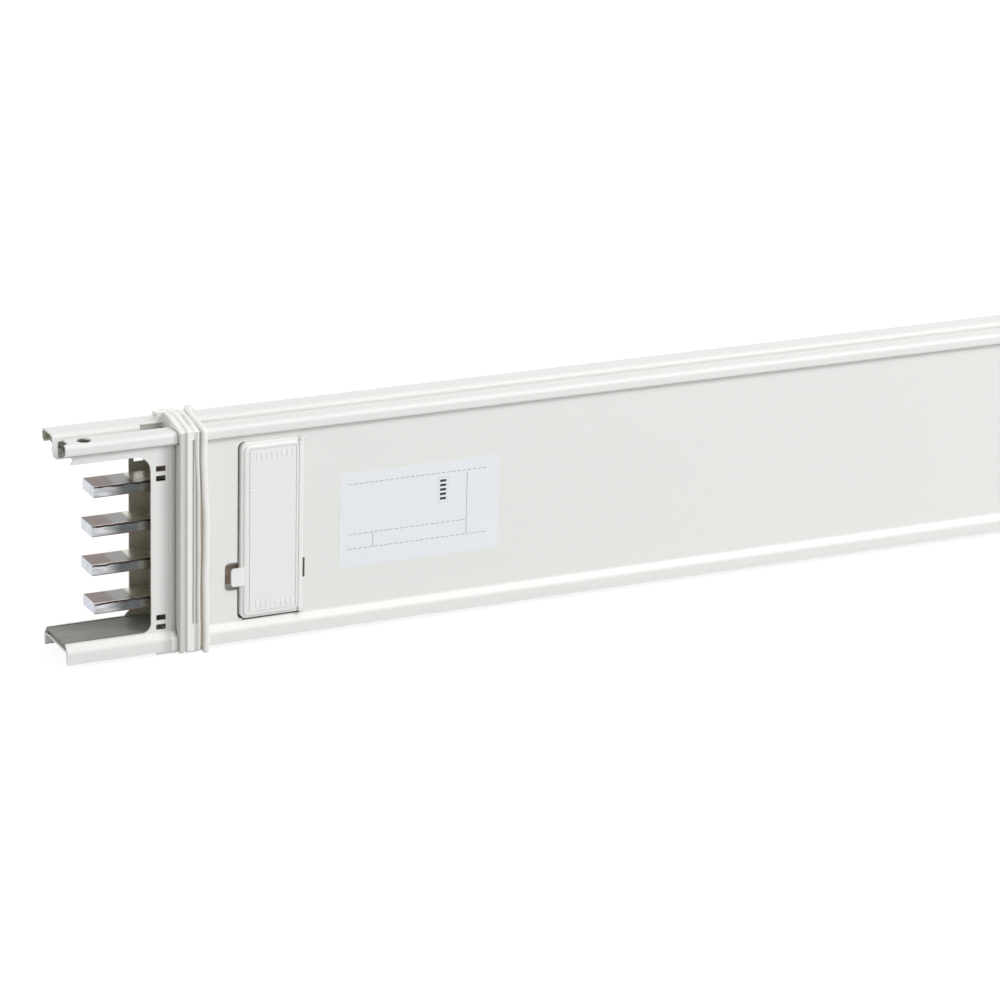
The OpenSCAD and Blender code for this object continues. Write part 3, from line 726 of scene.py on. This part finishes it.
# The collar's face, from the joint end: its place along the section, its depth beside the slits,
# where it is plain and in the recess of its top, and its tone, which paints the shade of its
# creases.
COLLAR_FACE = [
    (0.0, 0.6, 0.6, 0.6, 1), (0.3, 0.2, 0.2, 0.2, 1), (2.7, 0.4, 0.3, 0.3, 2),
    (2.8, 0.8, 0.8, 0.6, 2), (3.4, 1.1, 1.1, 0.9, 1), (4.6, 0.8, 0.8, 0.7, 1),
    (4.8, 0.2, 0.2, 0.2, 0), (5.1, 0.0, 0.0, 0.0, 0), (8.2, 0.0, 0.0, 0.0, 0),
    (8.45, 0.4, 0.0, 0.3, 3), (8.5, 2.2, 0.1, 1.6, 3), (9.4, 2.2, 0.1, 1.6, 1),
    (9.5, 1.2, 0.1, 0.7, 1), (9.9, 1.2, 0.1, 0.7, 1), (10.0, 1.2, 0.1, 1.6, 1),
    (10.9, 1.2, 0.2, 1.6, 2), (11.0, 1.7, 0.5, 0.7, 2), (11.5, 1.7, 0.5, 0.7, 1),
    (11.6, 0.9, 0.4, 1.4, 1), (11.9, 0.6, 0.3, 1.0, 1), (12.2, 0.5, 0.3, 0.5, 1),
    (13.3, 0.5, 0.3, 0.4, 0), (14.0, 0.8, 0.7, 0.7, 1), (14.4, 2.4, 2.4, 2.4, 3),
    (16.6, 2.4, 2.4, 2.4, 3)]
DEPTHS, TONE = 1, 4                        # columns of that table
# The thin ridge beyond the slits: where it lies, and how far and where it leans near the top.
SECOND_RIDGE, LEAN, LEAN_Z, LEAN_Y = (11.5, 14.2), 1.3, (95, 138), (20, 40)
# The tongues under the joint end, and the cut-out of the joint end's rails.
TONGUE_W, TONGUE_L, CUT_OUT_L = 5.5, 14, 16


def collar_zone(y, z):
    """0 beside a slit, 1 where the face is plain, 2 in the recess of the top."""
    if z > CASING_H and RECESS_NEAR < y < RECESS_FAR:
        return 2
    return 0 if SLIT_LOW < z < SLIT_HIGH else 1


def collar_depth(k, y, z):
    return COLLAR_FACE[k][DEPTHS + collar_zone(y, z)]


def collar_tone(k, y, z):
    """Which plastic a strip shows: lighter painted shade on the top; seal only in the slits and at
    the end.
    """
    tone = COLLAR_FACE[k][TONE]
    if k == len(COLLAR_FACE) - 2:
        return tone
    if z > CASING_H:
        return min(max(tone - 1, WHITE), SHADE)
    return WHITE if tone == SHADED_SEAL and collar_zone(y, z) else tone


def second_ridge_drift(k, y, z):
    """How far the thin ridge beyond the slits strays: it leans to the joint end near the top."""
    if not SECOND_RIDGE[0] < COLLAR_FACE[k][0] < SECOND_RIDGE[1]:
        return 0.0
    front = -LEAN * blend_between(z, *LEAN_Z) if y < MID_Y else 0.0
    over = LEAN * blend_between(y, *LEAN_Y) if z > CASING_H and y < MID_Y + 20 else 0.0
    return min(front + over, 0.0) + 0.12 * math.sin(z / 8.0)


def make_collar():
    bm = bmesh.new()
    ring = Ring(roof_corners(3.5, 2.0, 147.4, 152.3, 1.6),
                [(1, SLIT_LOW), (1, SLIT_HIGH), (0, RECESS_NEAR), (0, RECESS_FAR)])
    add_band(bm, ring, [COLLAR_X + row[0] for row in COLLAR_FACE], collar_depth, second_ridge_drift,
             collar_tone)
    # Face that closes the groove.
    add_block(bm, (COLLAR_X, HUMP_W - 4, GROOVE_Z + 0.3),
              (COLLAR_X + 1.8, REAR_HUMP_Y + 4, CASING_H + 1), 0.3)
    # Latch block in the rear hump.
    add_block(bm, (COLLAR_X - 4.3, REAR_HUMP_Y + 2.6, CASING_H - 4),
              (COLLAR_X + 3.2, REAR_HUMP_Y + 4.4, 152.2), 0.5)
    # Plate and seal that show through the cut-out of the joint end's rails; the plate's tone paints
    # the shade of the groove wall.
    add_block(bm, (COLLAR_X - CUT_OUT_L + 0.1, REAR_HUMP_Y + 1.9, GROOVE_Z + 0.5),
              (COLLAR_X - 2, REAR_HUMP_Y + 2.6, CASING_H - 1.4), 0.2, CREASE_SHADE)
    add_block(bm, (COLLAR_X - CUT_OUT_L + 0.2, HUMP_W - 1.0, GROOVE_Z - 0.9),
              (COLLAR_X + 1, REAR_HUMP_Y + 1.0, GROOVE_Z + 1.7), 0.2, SHADED_SEAL)
    # Tongues under the joint end.
    for y in (SHEET, CASING_D - SHEET - TONGUE_W):
        add_block(bm, (COLLAR_X - TONGUE_L, y, -2.0), (COLLAR_X + 1, y + TONGUE_W, -0.1), 0.4)
    collar = add_piece(bm, "collar_shell", "root", (IVORY, IVORY_PAINTED_SHADE, IVORY_CREASE_SHADE, SHADED_FOAM),
                       smooth=False)
    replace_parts(collar, "seal_collar")


make_collar()

# Soft bead: a hand-fitted rubber lip, so it wanders along the collar.
BEAD_X, BEAD_L = 93.0, 3.8
# Where the knob at its joint lies in Y and Z, and how large it is; how far its rear end strays.
KNOB, KNOB_R, KNOB_PROUD = (CASING_D + 1.0, CASING_H + 3.0), 3.5, 1.2
BEAD_LEAN, BEAD_DRIFT = 1.6, 6.0
# Its section: share of its width from the middle, and depth.
BEAD_FACE = [(-0.5, 2.4), (-0.5, 1.5), (-0.46, 0.7), (-0.34, 0.2), (-0.12, 0.0),
             (0.12, 0.0), (0.34, 0.2), (0.46, 0.7), (0.5, 1.5), (0.5, 2.4)]


def bead_knob(y, z):
    """Swelling where the bead's ends meet at the rear of the top."""
    return math.exp(-(((y - KNOB[0]) / KNOB_R) ** 2 + ((z - KNOB[1]) / KNOB_R) ** 2))


def bead_shift(k, y, z):
    """How far along the section a place of the bead strays."""
    side = -BEAD_LEAN * blend_between(z, 85, 140) if y < MID_Y else 0.0
    over = BEAD_DRIFT * blend_between(y, 26, CASING_D + 2) if z > CASING_H else 0.0
    tail = BEAD_DRIFT * blend_between(z, SKIRT_Z - 0.5, CASING_H + 2) if y > CASING_D else 0.0
    slack = 0.3 * math.sin(z / 11.0 + 0.7) + 0.12 * math.sin(z / 4.3)
    wider = BEAD_FACE[k][0] * BEAD_L * 0.5 * bead_knob(y, z)
    return side + max(over, tail) + slack + wider


def make_bead():
    bm = bmesh.new()
    ring = Ring(roof_corners(4.38, 3.48, 147.2, 151.2, 3.0), [(1, 60.0)])
    add_band(bm, ring, [BEAD_X + across * BEAD_L for across, _ in BEAD_FACE],
             lambda k, y, z: BEAD_FACE[k][1] - KNOB_PROUD * bead_knob(y, z), bead_shift)
    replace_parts(add_piece(bm, "soft_bead", "root", (RUBBER,)), "collar_bead")


make_bead()


def rounded_outline(x0, z0, x1, z1, r, steps=5):
    points = []
    for cx, cz, first in ((x1 - r, z0 + r, 270), (x1 - r, z1 - r, 0),
                          (x0 + r, z1 - r, 90), (x0 + r, z0 + r, 180)):
        for i in range(steps + 1):
            a = math.radians(first + 90 * i / steps)
            points.append((cx + r * math.cos(a), cz + r * math.sin(a)))
    return points


def add_plate(bm, outline, back, front):
    """Flat plate with an outline in X and Z, from a rear face at Y = back to a front face."""
    rear = [bm.verts.new(at(x, back, z)) for x, z in outline]
    face = [bm.verts.new(at(x, front, z)) for x, z in outline]
    bm.faces.new(face)
    bm.faces.new(rear[::-1])
    for i in range(len(outline)):
        k = (i + 1) % len(outline)
        bm.faces.new((face[i], rear[i], rear[k], face[k]))


def plates_piece(name, outlines, back, front, material):
    bm = bmesh.new()
    for outline in outlines:
        add_plate(bm, outline, back, front)
    add_piece(bm, name, "root", (material,), smooth=False)


# ---- data label ------------------------------------------------------------------

LABEL = (188.2, 38.6, 302.3, 103.2)       # left, foot, right, top
LABEL_FACE = WEB_INSET - 0.12
INK_FACE = LABEL_FACE - 0.02
RULE_W = 0.4
RULE_HIGH, RULE_MIDDLE, RULE_LOW = 95.6, 61.3, 51.2
POST_X, POST_STEP = 279.2, 17.6           # the tall upright rule, and the short one's inset
CELL = (258.6, 75.4, 265.4, 92.6)         # left, foot, right, top
CELL_LINE = 0.2
LABEL_BAR = (259.7, 264.1, 1.7)           # left, right, height
LABEL_BAR_TOP, LABEL_BAR_PITCH, LABEL_BARS = 90.2, 3.05, 5


def film():
    g = Graph("label_film")
    g.color(g.mix(g.noise(20, 2), (0.838, 0.858, 0.888), (0.850, 0.870, 0.900)))
    g.roughness(g.uneven(300, 2, 0.30, 0.38))
    g.bump((g.noise(60, 2), 2e-5))
    return g.material


def ink(name, dark, pale):
    """Printed ink that lets some of the film through."""
    g = Graph(name)
    g.color(g.mix(g.ramp(g.noise(1500, 3), 0.35, 0.7), dark, pale))
    g.roughness(g.uneven(700, 2, 0.45, 0.55))
    g.bump((g.noise(1500, 2), 3e-6))
    return g.material


def level_strip(x0, x1, z, height):
    return [(x0, z - height / 2), (x1, z - height / 2), (x1, z + height / 2), (x0, z + height / 2)]


def upright_strip(x, z0, z1, width):
    return [(x - width / 2, z0), (x + width / 2, z0), (x + width / 2, z1), (x - width / 2, z1)]


def dashed_rule(x0, x1, z, dash=2.6, gap=1.1):
    starts = [x0 + i * (dash + gap) for i in range(int((x1 - x0 + gap) / (dash + gap)))]
    return [level_strip(start, start + dash, z, RULE_W) for start in starts]


def make_label():
    left, foot, right, top = LABEL
    sheet = rounded_outline(left, foot, right, top, 1.2)
    plates_piece("label", [sheet], WEB_INSET, LABEL_FACE, film())

    def printed(name, outlines, tone):
        plates_piece(name, outlines, LABEL_FACE, INK_FACE, tone)

    x0, x1 = left + 6, right - 6.5
    rules = dashed_rule(x0, x1, RULE_HIGH) + dashed_rule(x0, POST_X, RULE_MIDDLE)
    rules += dashed_rule(x0, x1, RULE_LOW)
    rules += [upright_strip(POST_X, RULE_LOW + 0.6, RULE_HIGH - 1.2, RULE_W),
              upright_strip(x0 + POST_STEP, RULE_LOW + 0.3, RULE_MIDDLE - 0.4, RULE_W)]
    printed("label_rules", rules, ink("rule_ink", (0.22, 0.22, 0.23), (0.48, 0.49, 0.50)))

    cell = [level_strip(CELL[0], CELL[2], z, CELL_LINE) for z in (CELL[1], CELL[3])]
    cell += [upright_strip(x, CELL[1], CELL[3], CELL_LINE) for x in (CELL[0], CELL[2])]
    printed("label_cell", cell, ink("pale_ink", (0.50, 0.50, 0.51), (0.62, 0.62, 0.63)))

    bar_left, bar_right, bar_h = LABEL_BAR
    heights = [LABEL_BAR_TOP - LABEL_BAR_PITCH * i for i in range(LABEL_BARS)]
    bars = [rounded_outline(bar_left, z - bar_h / 2, bar_right, z + bar_h / 2, 0.3, 2)
            for z in heights]
    printed("label_bars", bars, ink("bar_ink", (0.02, 0.02, 0.022), (0.05, 0.05, 0.055)))


make_label()

# ---- marks on the covers -----------------------------------------------------------


def dome(bm, spot, width, height, proud, steps=14, rings=3):
    """Low pip on a face, a rounded oblong seen from the front: spot(u, w, out) gives its places."""
    sunk = 0.05

    def point(scale, out, i):
        a = 2 * math.pi * i / steps
        c, s = math.cos(a), math.sin(a)
        u = math.copysign(abs(c) ** 0.5, c) * width / 2 * scale
        w = math.copysign(abs(s) ** 0.5, s) * height / 2 * scale
        return bm.verts.new(spot(u, w, out))

    loops = []
    for k in range(rings):
        lift = k / rings
        out = proud * lift if k else -sunk
        loops.append([point(math.sqrt(1 - lift ** 2), out, i) for i in range(steps)])
    tip = bm.verts.new(spot(0, 0, proud))
    for a, b in zip(loops, loops[1:]):
        for i in range(steps):
            j = (i + 1) % steps
            bm.faces.new((a[i], a[j], b[j], b[i]))
    for i in range(steps):
        bm.faces.new((loops[-1][i], loops[-1][(i + 1) % steps], tip))
    bm.faces.new(loops[0][::-1])


COVER_W, COVER_H = 43.0, 118.5
PIP_ROWS = (-28.7, 0.0, 28.7)
PIP = (1.3, 1.0, 0.55)             # width, height and rise of a pip
RIB = (1.1, 5.8, 0.38)             # the same of a rib
RIBS, RIB_REACH, RIB_SHIFT = 8, 24.5, 1.0
RIB_INSET = 9.2                    # from a cover's end to the middle of its ribs
COVER_GAP = 0.6
# The dark strips paint the shadow in the gap under a cover's foot and in the slot by its hinge.
FOOT_GAP = 1.6                     # height of the dark gap under a cover's foot
RELIEF_W, RELIEF_H = 2.4, 13.0     # reach and height of the dark slot beside the hinge
LIP_BACK = 0.2                     # how far a lip lies behind the side sheet's faces
SHADOW_STRIP_FRONT = WEB_INSET - 0.06      # where the dark strips show, just before the side sheet
FIT = 0.08


def cover_side(n):
    """A cover's hinge edge, face, foot and top, and 1 on the front side or -1 on the rear."""
    low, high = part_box(f"outlet_cover_{n}")
    if n > OUTLETS_A_SIDE:
        return low[0], high[1], low[2], high[2], -1
    return high[0], low[1], low[2], high[2], 1


def make_cover_marks(n, material):
    """Moulded marks of one cover: pips on its borders and a grip of short ribs at both ends."""
    hinge, face, foot, top, turn = cover_side(n)
    centre_x = hinge - turn * COVER_W / 2 * MM
    centre_z = (foot + top) / 2

    def on_face(u0, w0):
        return lambda u, w, out: Vector((centre_x + turn * (u0 + u) * MM, face - turn * out * MM,
                                         centre_z + (w0 + w) * MM))

    bm = bmesh.new()
    for row in PIP_ROWS:
        for u, lean in ((-COVER_W / 2 + 5.6, 1), (COVER_W / 2 - 5.2, -1)):
            for side in (-1, 1):
                dome(bm, on_face(u + 0.35 * side * lean, row + 1.1 * side), *PIP, 8, 2)
    for end in (-1, 1):
        for k in range(RIBS):
            u = -RIB_REACH / 2 + RIB_REACH * k / (RIBS - 1) + RIB_SHIFT
            dome(bm, on_face(u, end * (COVER_H / 2 - RIB_INSET)), *RIB, 12, 3)
    add_piece(bm, f"cover_marks_{n}", f"cover_{n}", (material,))


def make_outlet_frame(n, pale, dark):
    """Pale lip of the socket body round a cover, and the painted shadow at its foot and relief
    slot.
    """
    hinge, face, foot, top, turn = cover_side(n)
    height = (top - foot) / MM
    slot = TAB_Z - COVER_FOOT - height
    lip = (WEB_INSET + LIP_BACK, WEB_INSET + SHEET + LIP_BACK)
    # Each strip: across from the hinge edge, up from the cover's top, depths, material.
    strips = [((3 - COVER_W, 0), (FIT, COVER_GAP), lip, 0),
              ((FIT, COVER_GAP), (3 - height, COVER_GAP), lip, 0),
              # Painted shadow: dark strips under the cover's foot and in the relief slot.
              ((2.0 - COVER_W, -1.0), (-FOOT_GAP - height, -FIT - height), (SHADOW_STRIP_FRONT, lip[0]), 1),
              ((FIT, RELIEF_W), (slot - RELIEF_H / 2, slot + RELIEF_H / 2),
               (SHADOW_STRIP_FRONT, WEB_INSET + 0.15), 1)]
    bm = bmesh.new()
    for (u0, u1), (w0, w1), deep, material in strips:
        corners = [Vector((hinge + turn * u * MM, face + turn * d * MM, top + w * MM))
                   for d in deep for u, w in ((u0, w0), (u1, w0), (u1, w1), (u0, w1))]
        v = [bm.verts.new(c) for c in corners]
        sides = [(v[i], v[(i + 1) % 4], v[4 + (i + 1) % 4], v[4 + i]) for i in range(4)]
        for loop in [v[:4], v[4:], *sides]:
            bm.faces.new(loop).material_index = material
    add_piece(bm, f"outlet_frame_{n}", "root", (pale, dark), smooth=False)


SHADOW_BROWN = moulded("socket_painted_shadow", (0.060, 0.052, 0.043), (0.080, 0.070, 0.058))
COVER_MATERIAL = NODES["outlet_cover_1"].material_slots[0].material
for n in OUTLETS:
    make_cover_marks(n, COVER_MATERIAL)
    make_outlet_frame(n, COVER_MATERIAL, SHADOW_BROWN)

bpy.context.scene.view_settings.view_transform = "Standard"
